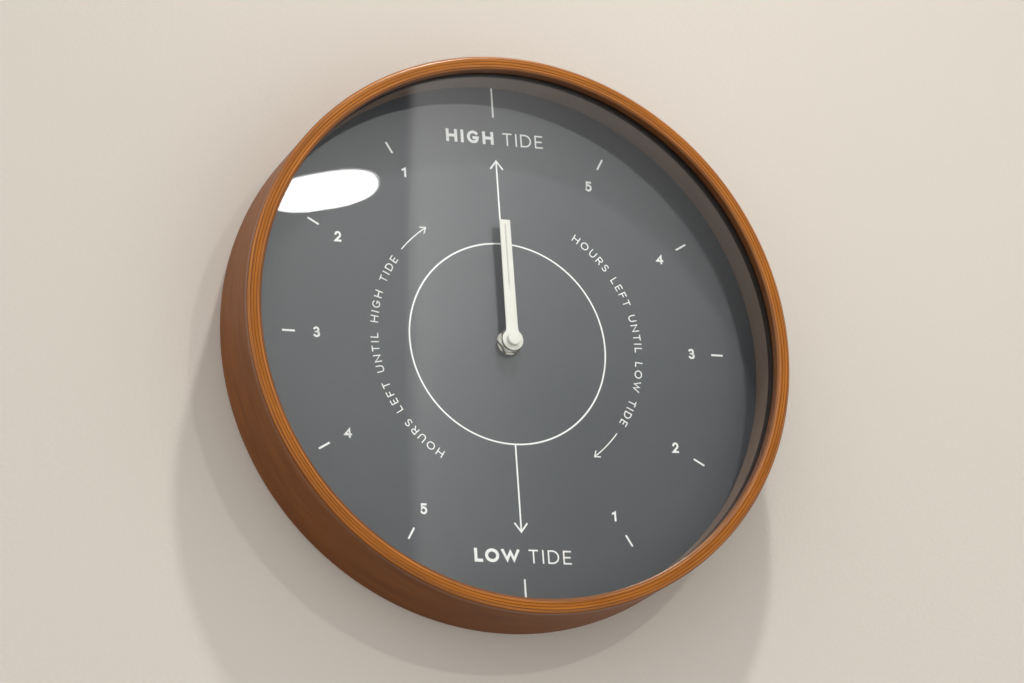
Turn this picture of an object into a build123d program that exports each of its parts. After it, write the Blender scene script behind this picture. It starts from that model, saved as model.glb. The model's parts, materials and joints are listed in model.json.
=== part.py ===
from build123d import *
import os
from math import atan2, cos, pi, radians, sin, sqrt

# Tide clock, in millimetres. Each piece is drawn looking at the dial: x to the right, y up, and z from
# the wall towards the viewer, with the shaft on the z axis and the wall at z = 0. At the end every piece
# is turned so that +Z is up and the dial faces -Y.

# Hoop
rim_diameter = 300.0
rim_depth = 46.6
rim_wall = 7.7
rim_rabbet = 3.7
lip_depth = 5.0
rim_front_round = 1.6
rim_rear_round = 0.8
lip_round = 0.9

# Glass, rings, dial and board, from the lip to the back
glass_thickness = 2.0
gasket_depth = 5.2
gasket_wall = 3.3
spacer_wall = 3.1
dial_thickness = 0.5
board_thickness = 2.0
sheet_gap = 0.6
ring_gap = 0.3
wall_gap = 0.6

# Bent tabs that hold the stack, and their screws. The hanger block takes the top place
hold_places = 6
clip_width = 12.0
clip_foot = 12.5
clip_leg = 10.5
clip_thickness = 0.8
clip_gap = 0.15
clip_screw_diameter = 2.0
clip_screw_length = 4.4
clip_head_diameter = 4.6
clip_head_height = 1.5
pilot_gap = 0.05

# Hanger
hanger_block_width = 58.0
hanger_block_reach = 27.0
hanger_block_inset = 2.0
glue_gap = 0.2
plate_width = 50.0
plate_height = 21.0
plate_thickness = 1.2
plate_corner = 3.0
plate_drop = 14.5
key_diameter = 9.0
key_slot_width = 4.5
key_slot_rise = 7.5
key_pocket_gap = 1.5
key_pocket_depth = 9.0
hanger_screw_spacing = 38.0
hanger_screw_diameter = 3.0
hanger_screw_length = 11.0
hanger_head_diameter = 5.8

# Shaft, nut and washers
bush_diameter = 8.0
bush_gap = 0.3
thread_gap = 0.05
nut_across_flats = 12.0
nut_thickness = 3.4
nut_chamfer = 0.5
nut_proud = 0.3
washer_diameter = 13.2
washer_thickness = 0.8
rubber_diameter = 22.0
rubber_thickness = 0.5

# Hand and what is on the end of the pipe
hand_height = 5.7
hand_thickness = 0.8
hand_length = 66.0
hand_root_width = 6.6
hand_tip_width = 5.9
hand_boss_diameter = 11.5
crease_width = 0.9
crease_depth = 0.25
crease_from_tip = 2.4
crease_length = 38.0
pipe_diameter = 5.0
pipe_wall = 0.8
pipe_proud = 1.2
collet_flange_diameter = 7.0
collet_flange_height = 0.8
collet_neck_diameter = 6.0
cap_diameter = 7.1
cap_height = 2.6
cap_round = 0.6
press_gap = 0.02
running_gap = 0.05

# Gear train: tooth counts, distances between arbors and where they stand round the shaft
tide_teeth = 40
motion_pinion_teeth = 10
motion_teeth = 36
cannon_teeth = 12
centre_teeth = 62
third_pinion_teeth = 8
third_teeth = 64
second_pinion_teeth = 8
second_teeth = 48
intermediate_pinion_teeth = 8
intermediate_teeth = 60
rotor_pinion_teeth = 12
motion_distance = 11.04
third_distance = 10.8
intermediate_distance = 8.4
rotor_distance = 9.0
motion_angle = 240.0
third_angle = 150.0
intermediate_angle = 60.0
rotor_angle = -20.0
gear_layers = 6
layer_pitch = 2.2
wheel_thickness = 0.7
pinion_length = 1.6
tooth_share = 0.40
tooth_tip_share = 0.20
tooth_root_share = 0.56
addendum_share = 0.85
dedendum_share = 1.15
arbor_radius = 0.5
motion_arbor_radius = 0.75
rotor_arbor_radius = 0.4
clutch_tube_radius = 1.2
clutch_hub_radius = 2.4
clutch_hub_height = 1.5
pivot_depth = 0.7
intermediate_collar_radius = 1.2
intermediate_sleeve_wall = 0.25
collar_height = 0.6

# Movement case
case_wall = 1.2
case_corner = 2.5
front_plate = 1.5
cover_thickness = 1.2
cover_gap = 0.1
cover_lip_height = 0.9
cover_lip_wall = 0.8
cover_lip_gap = 0.15
wheel_gap = 0.37
lip_side_gap = 2.87
well_floor = 0.9
cell_gap = 0.25

# Setting knob
knob_diameter = 9.0
knob_thickness = 2.0
knob_flutes = 20
knob_flute_depth = 0.35
knob_recess = 0.3
knob_side_gap = 0.5
knob_cup_wall = 0.8

# Motor
magnet_diameter = 5.0
magnet_height = 1.6
stator_thickness = 0.8
stator_half_width = 4.1
stator_air_gap = 0.6
stator_above = 10.7
stator_below = 15.8
stator_lap = 2.9
motor_side_gap = 1.1
stator_arm = 2.6
core_width = 3.0
core_thickness = 0.8
core_offset = 9.2
peg_radius = 0.8
peg_post_radius = 1.6
peg_gap = 0.05
bobbin_wall = 0.6
bobbin_gap = 0.1
bobbin_flange = 7.6
bobbin_flange_thickness = 0.8
bobbin_end_gap = 0.8
winding_size = 6.8
winding_corner = 2.2
winding_gap = 0.05

# Circuit
circuit_width = 8.8
circuit_height = 29.0
circuit_thickness = 1.0
circuit_edge_gap = 0.5
circuit_peg_radius = 0.9
circuit_peg_inset = 2.0
chip_width = 4.0
chip_height = 5.0
chip_thickness = 1.4
chip_above = 4.0
crystal_diameter = 2.0
crystal_length = 6.0
crystal_below = 3.0
crystal_gap = 0.05

# Battery and contacts
cell_diameter = 14.5
cell_length = 50.5
cell_nub_diameter = 5.5
cell_nub_length = 1.2
cell_round = 0.6
contact_thickness = 0.4
contact_gap = 0.1
contact_width = 9.0
contact_tall = 11.0
strip_width = 1.6
strip_gap = 0.1
strip_slot_gap = 0.2
strip_foot_width = 1.6
strip_foot_lap = 1.0
leaf_gap = 0.15
leaf_room = 2.6

# Radii of the hoop
rim_radius = rim_diameter / 2
lip_radius = rim_radius - rim_wall
seat_radius = lip_radius + rim_rabbet
sheet_radius = seat_radius - sheet_gap
ring_radius = seat_radius - ring_gap

# Heights of the stack above the wall: the movement and the dial from the wall, the glass from the lip
case_rear = wall_gap
room_rear = case_rear + cover_thickness
room_front = room_rear + gear_layers * layer_pitch
case_front = room_front + front_plate
board_rear = case_front + rubber_thickness
dial_rear = board_rear + board_thickness
dial_front = dial_rear + dial_thickness
lip_rear = rim_depth - lip_depth
glass_rear = lip_rear - glass_thickness
gasket_rear = glass_rear - gasket_depth

# Heights at the shaft end
washer_front = dial_front + washer_thickness
nut_front = washer_front + nut_thickness
bush_top = nut_front - nut_proud
hand_rear = dial_front + hand_height
hand_front = hand_rear + hand_thickness
pipe_top = hand_front + pipe_proud
pipe_radius = pipe_diameter / 2
pipe_bore = pipe_radius - pipe_wall
bush_radius = bush_diameter / 2


def layer(number):
    """Height of the middle of a gear layer, counted from the front plate."""
    return room_front - (number - 0.5) * layer_pitch


def polar(distance, angle, start=(0.0, 0.0)):
    """Point at a distance and an angle, in degrees, from a start point."""
    return (start[0] + distance * cos(radians(angle)), start[1] + distance * sin(radians(angle)))


shaft = (0.0, 0.0)
motion_at = polar(motion_distance, motion_angle)
third_at = polar(third_distance, third_angle)
intermediate_at = polar(intermediate_distance, intermediate_angle)
rotor_at = polar(rotor_distance, rotor_angle, intermediate_at)


# Plain solids
def disc(radius, low, high, at=shaft):
    """Round bar from one height to another."""
    bar = Cylinder(radius, high - low, align=(Align.CENTER, Align.CENTER, Align.MIN))
    return Pos(at[0], at[1], low) * bar


def ring(outer, inner, low, high, at=shaft):
    """Round tube from one height to another."""
    return disc(outer, low, high, at) - disc(inner, low, high, at)


def block(left, right, bottom, top, low, high):
    """Box between six faces."""
    return Pos(left, bottom, low) * Box(right - left, top - bottom, high - low, align=(Align.MIN,) * 3)


def plate(outline, low, high):
    """Flat outline given a thickness between two heights."""
    return extrude(Pos(0, 0, low) * outline, high - low, dir=(0, 0, 1))


def rounded(left, right, bottom, top, corner):
    """Rectangle with rounded corners, placed by its four sides."""
    shape = RectangleRounded(right - left, top - bottom, corner)
    return Pos((left + right) / 2, (bottom + top) / 2) * shape


def circles(solid, radius, height):
    """Edges of a solid that are circles of this radius at this height."""
    edges = solid.edges().filter_by(GeomType.CIRCLE)
    return [e for e in edges if abs(e.radius - radius) < 1e-4 and abs(e.arc_center.Z - height) < 1e-4]


# Gears
def gear_module(teeth, pinion_teeth, distance):
    """Size of a tooth that makes a pair fit between its arbors."""
    return 2 * distance / (teeth + pinion_teeth)


def tip_radius(teeth, pinion_teeth, distance):
    """Radius of a wheel over the tips of its teeth."""
    return gear_module(teeth, pinion_teeth, distance) * (teeth / 2 + addendum_share)


def gear(teeth, module, middle, length, at=shaft, turn=0.0):
    """Toothed disc. Each tooth has straight sides from root to pitch circle and from there to its tip."""
    pitch = 2 * pi / teeth
    radius = module * teeth / 2
    steps = [
        (radius - dedendum_share * module, -tooth_root_share),
        (radius, -tooth_share),
        (radius + addendum_share * module, -tooth_tip_share),
        (radius + addendum_share * module, tooth_tip_share),
        (radius, tooth_share),
        (radius - dedendum_share * module, tooth_root_share),
    ]
    points = []
    for tooth in range(teeth):
        for reach, share in steps:
            angle = turn + pitch * (tooth + share / 2)
            points.append((at[0] + reach * cos(angle), at[1] + reach * sin(angle)))
    return plate(make_face(Polyline(*points, close=True)), middle - length / 2, middle + length / 2)


def meshed(wheel_teeth, pinion_teeth, wheel_at, pinion_at):
    """Turn of a pinion whose gap faces a tooth of its wheel. The wheel stands unturned."""
    line = atan2(pinion_at[1] - wheel_at[1], pinion_at[0] - wheel_at[0])
    phase = line / (2 * pi / wheel_teeth)
    return line + pi - (2 * pi / pinion_teeth) * (0.5 - phase)


def wheel(teeth, pinion_teeth, distance, number, at):
    """Wheel of one layer."""
    return gear(teeth, gear_module(teeth, pinion_teeth, distance), layer(number), wheel_thickness, at)


def pinion(teeth, wheel_teeth, distance, number, at, wheel_at):
    """Pinion of one layer, in mesh with its wheel."""
    module = gear_module(wheel_teeth, teeth, distance)
    turn = meshed(wheel_teeth, teeth, wheel_at, at)
    return gear(teeth, module, layer(number), pinion_length, at, turn)


# Hoop, glass and dial
def wood_rim():
    """Hoop with a lip in front, cut away behind the lip, and pilot holes for the tab screws."""
    hoop = ring(rim_radius, lip_radius, 0, rim_depth) - disc(seat_radius, 0, lip_rear)
    hoop = fillet(circles(hoop, rim_radius, rim_depth), rim_front_round)
    hoop = fillet(circles(hoop, rim_radius, 0), rim_rear_round)
    hoop = fillet(circles(hoop, lip_radius, rim_depth), lip_round)
    pilot = clip_screw_diameter / 2 + pilot_gap
    hole = clip_bar(pilot, clip_face() - clip_thickness, clip_screw_tip() + pilot_gap)
    for angle in clip_angles():
        hoop -= Rot(0, 0, angle) * hole
    return hoop


def glass_lens():
    """Flat glass against the lip."""
    return disc(sheet_radius, glass_rear, lip_rear)


def lens_gasket():
    """Black ring behind the glass."""
    return ring(ring_radius, ring_radius - gasket_wall, gasket_rear, glass_rear)


def spacer_ring():
    """Ring between the dial and the gasket, which keeps the glass off the dial."""
    return ring(ring_radius, ring_radius - spacer_wall, dial_front, gasket_rear)


def dial_sheet():
    """Dial with the hole for the bush."""
    return ring(sheet_radius, bush_radius + bush_gap, dial_rear, dial_front)


def dial_board():
    """Stiff board behind the dial."""
    return ring(sheet_radius, bush_radius + bush_gap, board_rear, dial_rear)


# Tabs and screws, drawn on the x axis and turned round the shaft
def clip_angles():
    """Angles of the tabs, spread evenly from the hanger block at the top."""
    return [90.0 + 360.0 * k / hold_places for k in range(1, hold_places)]


def clip_face():
    """How far out the flat leg of a tab lies, with its corners just inside the hoop."""
    return sqrt(seat_radius**2 - (clip_width / 2) ** 2) - clip_gap


def clip_screw_height():
    """Height of the screw in the leg of a tab."""
    return board_rear - clip_leg / 2 - clip_thickness / 2


def clip_screw_tip():
    """How far out a tab screw reaches."""
    return clip_face() - clip_thickness + clip_screw_length


def clip_bar(radius, inner, outer):
    """Round bar along the x axis at the height of the tab screws."""
    bar = Rot(0, 90, 0) * Cylinder(radius, outer - inner, align=(Align.CENTER, Align.CENTER, Align.MIN))
    return Pos(inner, 0, clip_screw_height()) * bar


def board_clips():
    """Bent tabs: a foot on the board and a leg on the hoop, with a hole for the screw."""
    face = clip_face()
    half = clip_width / 2
    tab = block(face - clip_foot, face, -half, half, board_rear - clip_thickness, board_rear)
    tab += block(face - clip_thickness, face, -half, half, board_rear - clip_leg, board_rear)
    tab -= clip_bar(clip_screw_diameter / 2 + pilot_gap, face - clip_thickness, face)
    return Compound(children=[Rot(0, 0, angle) * tab for angle in clip_angles()])


def clip_screws():
    """Round-headed screws through the legs of the tabs."""
    seat = clip_face() - clip_thickness
    screw = clip_bar(clip_screw_diameter / 2, seat, clip_screw_tip())
    head = clip_bar(clip_head_diameter / 2, seat - clip_head_height, seat)
    head = fillet(head.edges().filter_by(GeomType.CIRCLE).sort_by(Axis.X)[0], clip_head_height / 2)
    return Compound(children=[Rot(0, 0, angle) * (screw + head) for angle in clip_angles()])


# Hanger
plate_rear = hanger_block_inset - plate_thickness
plate_middle = seat_radius - plate_drop
key_at = (0.0, plate_middle - key_slot_rise / 2)


def key_outline(radius, slot_half, rise):
    """Keyhole: a round hole with a slot above it, which ends in a half circle."""
    slot_top = key_at[1] + rise
    slot = Pos(0, (key_at[1] + slot_top) / 2) * Rectangle(2 * slot_half, rise)
    return Pos(*key_at) * Circle(radius) + slot + Pos(0, slot_top) * Circle(slot_half)


def hanger_screw_places():
    """Places of the two hanger screws."""
    return [(side * hanger_screw_spacing / 2, plate_middle) for side in (-1, 1)]


def hanger_block():
    """Block glued inside the top of the hoop, with a pocket for the head of the wall screw."""
    half = hanger_block_width / 2
    body = disc(seat_radius - glue_gap, hanger_block_inset, board_rear)
    low = seat_radius - hanger_block_reach
    body &= block(-half, half, low, seat_radius, hanger_block_inset, board_rear)
    radius = key_diameter / 2 + key_pocket_gap
    pocket = key_outline(radius, radius, key_slot_rise)
    body -= plate(pocket, hanger_block_inset, hanger_block_inset + key_pocket_depth)
    for at in hanger_screw_places():
        deep = plate_rear + hanger_screw_length + pilot_gap
        body -= disc(hanger_screw_diameter / 2 + pilot_gap, hanger_block_inset, deep, at)
    return body


def countersink(at, gap):
    """Cone of a flat screw head, in the thickness of the plate."""
    large = hanger_head_diameter / 2 + gap
    small = hanger_screw_diameter / 2 + gap
    cone = Cone(large, small, plate_thickness, align=(Align.CENTER, Align.CENTER, Align.MIN))
    return Pos(at[0], at[1], plate_rear) * cone


def hanger_plate():
    """Keyhole plate with two countersunk holes."""
    half = plate_width / 2
    low, high = plate_middle - plate_height / 2, plate_middle + plate_height / 2
    outline = rounded(-half, half, low, high, plate_corner)
    outline -= key_outline(key_diameter / 2, key_slot_width / 2, key_slot_rise)
    body = plate(outline, plate_rear, hanger_block_inset)
    for at in hanger_screw_places():
        body -= countersink(at, pilot_gap)
    return body


def hanger_screws():
    """Flat-headed wood screws of the keyhole plate."""
    screws = []
    for at in hanger_screw_places():
        shank = disc(hanger_screw_diameter / 2, hanger_block_inset, plate_rear + hanger_screw_length, at)
        screws.append(countersink(at, 0) + shank)
    return Compound(children=screws)


# Nut and washers
def rubber_washer():
    """Soft washer between the movement and the board."""
    return ring(rubber_diameter / 2, bush_radius + bush_gap, case_front, board_rear)


def dial_washer():
    """Nickel washer on the dial."""
    return ring(washer_diameter / 2, bush_radius + bush_gap, dial_front, washer_front)


def hex_nut():
    """Hexagon nut with a chamfered front."""
    outline = RegularPolygon(nut_across_flats / 2, 6, major_radius=False)
    nut = plate(outline, washer_front, nut_front)
    cone_height = nut_across_flats / 2
    cone = Cone(
        nut_across_flats / 2 - nut_chamfer + cone_height,
        nut_across_flats / 2 - nut_chamfer,
        cone_height,
        align=(Align.CENTER, Align.CENTER, Align.MAX),
    )
    nut &= Pos(0, 0, nut_front) * cone
    return nut - disc(bush_radius + thread_gap, washer_front, nut_front)


# Hand
def tide_hand():
    """Flat hand that tapers to a square tip, with a round boss and a crease along its outer part."""
    root, tip = hand_root_width / 2, hand_tip_width / 2
    blade = make_face(Polyline((-root, 0), (root, 0), (tip, hand_length), (-tip, hand_length), close=True))
    outline = blade + Circle(hand_boss_diameter / 2) - Circle(collet_neck_diameter / 2 + press_gap)
    crease_top = hand_length - crease_from_tip
    half = crease_width / 2
    floor = hand_front - crease_depth
    crease = block(-half, half, crease_top - crease_length, crease_top, floor, hand_front)
    return plate(outline, hand_rear, hand_front) - crease


def hand_collet():
    """Brass bush that grips the pipe under the hand and through it."""
    flange = disc(collet_flange_diameter / 2, hand_rear - collet_flange_height, hand_rear)
    neck = disc(collet_neck_diameter / 2, hand_rear, hand_front)
    hole = disc(pipe_radius + press_gap, hand_rear - collet_flange_height, hand_front)
    return flange + neck - hole


def hub_cap():
    """Cap pressed on the end of the pipe."""
    top = hand_front + cap_height
    cap = disc(cap_diameter / 2, hand_front, top)
    cap = fillet(circles(cap, cap_diameter / 2, top), cap_round)
    return cap - disc(pipe_radius + press_gap, hand_front, pipe_top + press_gap)


# Train
def tide_wheel():
    """Last wheel, with the pipe that carries the hand."""
    toothed = wheel(tide_teeth, motion_pinion_teeth, motion_distance, 1, shaft)
    pipe_foot = layer(1) - pinion_length / 2
    toothed += disc(pipe_radius, pipe_foot, pipe_top)
    return toothed - disc(pipe_bore, pipe_foot, pipe_top)


def cannon_pinion():
    """Pinion on a tube: the front end steadies the pipe, and the rear end carries the centre wheel."""
    teeth = pinion(cannon_teeth, motion_teeth, motion_distance, 2, shaft, motion_at)
    foot = layer(3) - layer_pitch / 2
    teeth += disc(clutch_tube_radius, foot, layer(2))
    teeth += disc(pipe_bore - running_gap, layer(2), case_front)
    return teeth - disc(arbor_radius + running_gap, foot, case_front)


def motion_wheel():
    """Wheel and pinion on the arbor of the setting knob."""
    toothed = wheel(motion_teeth, cannon_teeth, motion_distance, 2, motion_at)
    toothed += pinion(motion_pinion_teeth, tide_teeth, motion_distance, 1, motion_at, shaft)
    return toothed + disc(motion_arbor_radius, case_rear + knob_recess, room_front + pivot_depth, motion_at)


def centre_wheel():
    """Wheel that turns the cannon pinion by friction."""
    toothed = wheel(centre_teeth, third_pinion_teeth, third_distance, 3, shaft)
    low, high = layer(3) - clutch_hub_height / 2, layer(3) + clutch_hub_height / 2
    toothed += disc(clutch_hub_radius, low, high)
    return toothed - disc(clutch_tube_radius + running_gap, low, high)


def third_wheel():
    """Wheel and pinion on their own arbor."""
    toothed = wheel(third_teeth, second_pinion_teeth, third_distance, 4, third_at)
    toothed += pinion(third_pinion_teeth, centre_teeth, third_distance, 3, third_at, shaft)
    return toothed + disc(arbor_radius, room_rear - pivot_depth, room_front + pivot_depth, third_at)


def second_wheel():
    """Wheel and pinion on a long arbor inside the cannon pinion."""
    toothed = wheel(second_teeth, intermediate_pinion_teeth, intermediate_distance, 5, shaft)
    toothed += pinion(second_pinion_teeth, third_teeth, third_distance, 4, shaft, third_at)
    return toothed + disc(arbor_radius, room_rear - pivot_depth, room_front)


def intermediate_wheel():
    """Wheel and pinion that run on a pin of the cover."""
    toothed = wheel(intermediate_teeth, rotor_pinion_teeth, rotor_distance, 6, intermediate_at)
    teeth = pinion(
        intermediate_pinion_teeth, second_teeth, intermediate_distance, 5, intermediate_at, shaft
    )
    bore = arbor_radius + running_gap
    foot = layer(6) - wheel_thickness / 2
    head = layer(5) + pinion_length / 2
    toothed += teeth + disc(bore + intermediate_sleeve_wall, foot, head, intermediate_at)
    return toothed - disc(bore, foot, head, intermediate_at)


def rotor():
    """Arbor with the first pinion."""
    teeth = pinion(rotor_pinion_teeth, intermediate_teeth, rotor_distance, 6, rotor_at, intermediate_at)
    return teeth + disc(rotor_arbor_radius, room_rear - pivot_depth, room_front + pivot_depth, rotor_at)


def rotor_magnet():
    """Magnet ring on the rotor, in the layer of the stator."""
    low, high = layer(5) - magnet_height / 2, layer(5) + magnet_height / 2
    return ring(magnet_diameter / 2, rotor_arbor_radius + press_gap, low, high, rotor_at)


def setting_knob():
    """Fluted knob on the rear end of the motion arbor."""
    rear = case_rear + knob_recess
    radius = knob_diameter / 2
    points = []
    for k in range(2 * knob_flutes):
        reach = radius - knob_flute_depth * (k % 2)
        points.append(polar(reach, 180.0 * k / knob_flutes, motion_at))
    knob = plate(make_face(Polyline(*points, close=True)), rear, rear + knob_thickness)
    return knob - disc(motion_arbor_radius + press_gap, rear, rear + knob_thickness, motion_at)


# Movement case: as wide inside as the motor or the cell needs, and as tall as the wheels need
core_x = rotor_at[0] + core_offset
stator_right = core_x + stator_lap
motor_side = core_x + bobbin_flange / 2 + motor_side_gap
cell_side = (cell_length + contact_thickness + contact_gap + leaf_room) / 2
room_side = max(motor_side, cell_side)
case_side = room_side + case_wall
motion_reach = tip_radius(motion_teeth, cannon_teeth, motion_distance)
room_bottom = motion_reach - motion_at[1] + wheel_gap
intermediate_reach = tip_radius(intermediate_teeth, rotor_pinion_teeth, rotor_distance)
lip_top = intermediate_at[1] + intermediate_reach + lip_side_gap
room_top = lip_top + cover_lip_wall + cover_lip_gap
case_top = room_top + case_wall
well_top = -room_bottom - case_wall
cell_y = well_top - cell_gap - cell_diameter / 2
well_bottom = cell_y - cell_diameter / 2 - cell_gap
case_bottom = well_bottom - case_wall
well_front = case_front - well_floor
cell_z = well_front - cell_gap - cell_diameter / 2
cover_edge = -room_bottom - case_wall / 2

# Motor places
stator_left = rotor_at[0] - stator_half_width
stator_low = rotor_at[1] - stator_below
stator_high = rotor_at[1] + stator_above
stator_rear = layer(5) - stator_thickness / 2
stator_front = layer(5) + stator_thickness / 2
core_front = stator_front + core_thickness
core_z = stator_front + core_thickness / 2
bobbin_low = stator_low + stator_arm + bobbin_end_gap
bobbin_high = stator_high - stator_arm - bobbin_end_gap

# Circuit places
circuit_left = -room_side + circuit_edge_gap
circuit_x = circuit_left + circuit_width / 2
circuit_rear = room_front - circuit_thickness
strip_front = circuit_rear
strip_rear = strip_front - strip_width


def stator_pegs():
    """Places of the pegs that hold the stator and the core, one in each arm."""
    return [(core_x, stator_low + stator_arm / 2), (core_x, stator_high - stator_arm / 2)]


def circuit_pegs():
    """Places of the pegs that hold the circuit board."""
    return [(circuit_x, side * (circuit_height / 2 - circuit_peg_inset)) for side in (-1, 1)]


def movement_case():
    """Front shell: plate, walls, battery well open to the rear, threaded bush, pivot holes and pegs."""
    outline = rounded(-case_side, case_side, case_bottom, case_top, case_corner)
    shell = plate(outline, case_rear, case_front)
    shell -= block(-case_side, case_side, cover_edge, case_top, case_rear, room_rear)
    shell -= block(-room_side, room_side, -room_bottom, room_top, room_rear, room_front)
    shell -= block(-room_side, room_side, well_bottom, well_top, case_rear, well_front)
    shell += disc(bush_radius, case_front, bush_top)
    shell -= disc(pipe_radius + running_gap, room_front, bush_top)
    pivots = ((third_at, arbor_radius), (motion_at, motion_arbor_radius), (rotor_at, rotor_arbor_radius))
    for at, radius in pivots:
        shell -= disc(radius + running_gap, room_front, room_front + pivot_depth + running_gap, at)
    for at in stator_pegs():
        shell += disc(peg_post_radius, core_front, room_front, at)
        shell += disc(peg_radius, stator_rear, core_front, at)
    for at in circuit_pegs():
        shell += disc(circuit_peg_radius, circuit_rear, room_front, at)
    slot_side = room_side - contact_thickness - strip_slot_gap
    slot_rear = strip_rear - strip_slot_gap
    shell -= block(slot_side, room_side, well_top, -room_bottom, slot_rear, strip_front + strip_slot_gap)
    return shell


def movement_cover():
    """Rear cover: plate with a locating lip, a cup for the knob, pivot holes and the intermediate pin."""
    cover = plate(
        rounded(-case_side, case_side, cover_edge + cover_gap, case_top, case_corner), case_rear, room_rear
    )
    side = room_side - cover_lip_gap
    low, high = -room_bottom + cover_lip_gap, room_top - cover_lip_gap
    lip_front = room_rear + cover_lip_height
    wall = cover_lip_wall
    lip = block(-side, side, low, high, room_rear, lip_front)
    lip -= block(-side + wall, side - wall, low + wall, high - wall, room_rear, lip_front)
    cup_radius = knob_diameter / 2 + knob_side_gap
    cup_floor = case_rear + knob_thickness + 2 * knob_recess
    cover += lip + disc(cup_radius + knob_cup_wall, room_rear, cup_floor + knob_cup_wall, motion_at)
    cover -= disc(cup_radius, case_rear, cup_floor, motion_at)
    cover -= disc(motion_arbor_radius + running_gap, case_rear, cup_floor + knob_cup_wall, motion_at)
    for at, radius in ((shaft, arbor_radius), (third_at, arbor_radius), (rotor_at, rotor_arbor_radius)):
        cover -= disc(radius + running_gap, room_rear - pivot_depth - running_gap, room_rear, at)
    cover += disc(intermediate_collar_radius, room_rear, room_rear + collar_height, intermediate_at)
    return cover + disc(arbor_radius, room_rear, layer(5) + pinion_length / 2, intermediate_at)


# Motor
def stator():
    """Flat iron yoke with the rotor hole in its back and two arms to the coil core."""
    outline = make_face(
        Polyline(
            (stator_left, stator_low),
            (stator_right, stator_low),
            (stator_right, stator_low + stator_arm),
            (rotor_at[0] + stator_half_width, stator_low + stator_arm),
            (rotor_at[0] + stator_half_width, stator_high - stator_arm),
            (stator_right, stator_high - stator_arm),
            (stator_right, stator_high),
            (stator_left, stator_high),
            close=True,
        )
    )
    yoke = plate(outline, stator_rear, stator_front)
    yoke -= disc(magnet_diameter / 2 + stator_air_gap, stator_rear, stator_front, rotor_at)
    for at in stator_pegs():
        yoke -= disc(peg_radius + peg_gap, stator_rear, stator_front, at)
    return yoke


def coil_core():
    """Iron strip through the bobbin, from one arm of the stator to the other."""
    half = core_width / 2
    strip = block(core_x - half, core_x + half, stator_low, stator_high, stator_front, core_front)
    for at in stator_pegs():
        strip -= disc(peg_radius + peg_gap, stator_front, core_front, at)
    return strip


def core_box(half_width, half_thickness, low, high):
    """Box round the axis of the core."""
    left, right = core_x - half_width, core_x + half_width
    return block(left, right, low, high, core_z - half_thickness, core_z + half_thickness)


def coil_bobbin():
    """Square tube on the core with a flange at each end."""
    width, thickness = core_width / 2 + bobbin_gap, core_thickness / 2 + bobbin_gap
    half = bobbin_flange / 2
    spool = core_box(width + bobbin_wall, thickness + bobbin_wall, bobbin_low, bobbin_high)
    spool += core_box(half, half, bobbin_low, bobbin_low + bobbin_flange_thickness)
    spool += core_box(half, half, bobbin_high - bobbin_flange_thickness, bobbin_high)
    return spool - core_box(width, thickness, bobbin_low, bobbin_high)


def coil_winding():
    """Copper winding, as one rounded sleeve between the flanges."""
    width = core_width / 2 + bobbin_gap + bobbin_wall + winding_gap
    thickness = core_thickness / 2 + bobbin_gap + bobbin_wall + winding_gap
    low = bobbin_low + bobbin_flange_thickness
    high = bobbin_high - bobbin_flange_thickness
    half = winding_size / 2
    sleeve = core_box(half, half, low, high)
    sleeve = fillet(sleeve.edges().filter_by(Axis.Y), winding_corner)
    return sleeve - core_box(width, thickness, low, high)


# Circuit
def circuit_board():
    """Board on the front plate, held by two pegs."""
    half = circuit_height / 2
    panel = block(circuit_left, circuit_left + circuit_width, -half, half, circuit_rear, room_front)
    for at in circuit_pegs():
        panel -= disc(circuit_peg_radius + peg_gap, circuit_rear, room_front, at)
    return panel


def driver_chip():
    """Chip on the board."""
    left = circuit_x - chip_width / 2
    low = chip_above - chip_height / 2
    rear = circuit_rear - chip_thickness
    return block(left, left + chip_width, low, low + chip_height, rear, circuit_rear)


def quartz_crystal():
    """Crystal in its round can, lying on the board."""
    radius = crystal_diameter / 2
    can = Rot(90, 0, 0) * Cylinder(radius, crystal_length, align=(Align.CENTER, Align.CENTER, Align.MIN))
    return Pos(circuit_x, -crystal_below, circuit_rear - radius - crystal_gap) * can


# Battery and contacts
cell_tip = room_side - contact_thickness - contact_gap
cell_foot = cell_tip - cell_length


def battery_cell():
    """Round cell with its nub to the right."""
    can_length = cell_length - cell_nub_length
    can = Cylinder(cell_diameter / 2, can_length, align=(Align.CENTER, Align.CENTER, Align.MIN))
    can = fillet(can.edges().filter_by(GeomType.CIRCLE), cell_round)
    nub = Cylinder(cell_nub_diameter / 2, cell_length, align=(Align.CENTER, Align.CENTER, Align.MIN))
    nub -= Cylinder(cell_nub_diameter / 2, can_length, align=(Align.CENTER, Align.CENTER, Align.MIN))
    return Pos(cell_foot, cell_y, cell_z) * (Rot(0, 90, 0) * (can + nub))


def contact_positive():
    """Plate at the nub, with a strip through the partition and along it to the circuit board."""
    inner = room_side - contact_thickness
    half = contact_tall / 2
    rear, front = cell_z - contact_width / 2, cell_z + contact_width / 2
    strip = block(inner, room_side, cell_y - half, cell_y + half, rear, max(front, strip_front))
    low = -room_bottom + strip_gap
    high = low + contact_thickness
    strip += block(inner, room_side, cell_y, high, strip_rear, strip_front)
    foot_left = circuit_left + circuit_width - strip_foot_width
    strip += block(foot_left, room_side, low, high, strip_rear, strip_front)
    foot_high = -circuit_height / 2 + strip_foot_lap
    foot_rear = circuit_rear - contact_thickness
    strip += block(foot_left, foot_left + strip_foot_width, low, foot_high, foot_rear, circuit_rear)
    return strip


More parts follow.
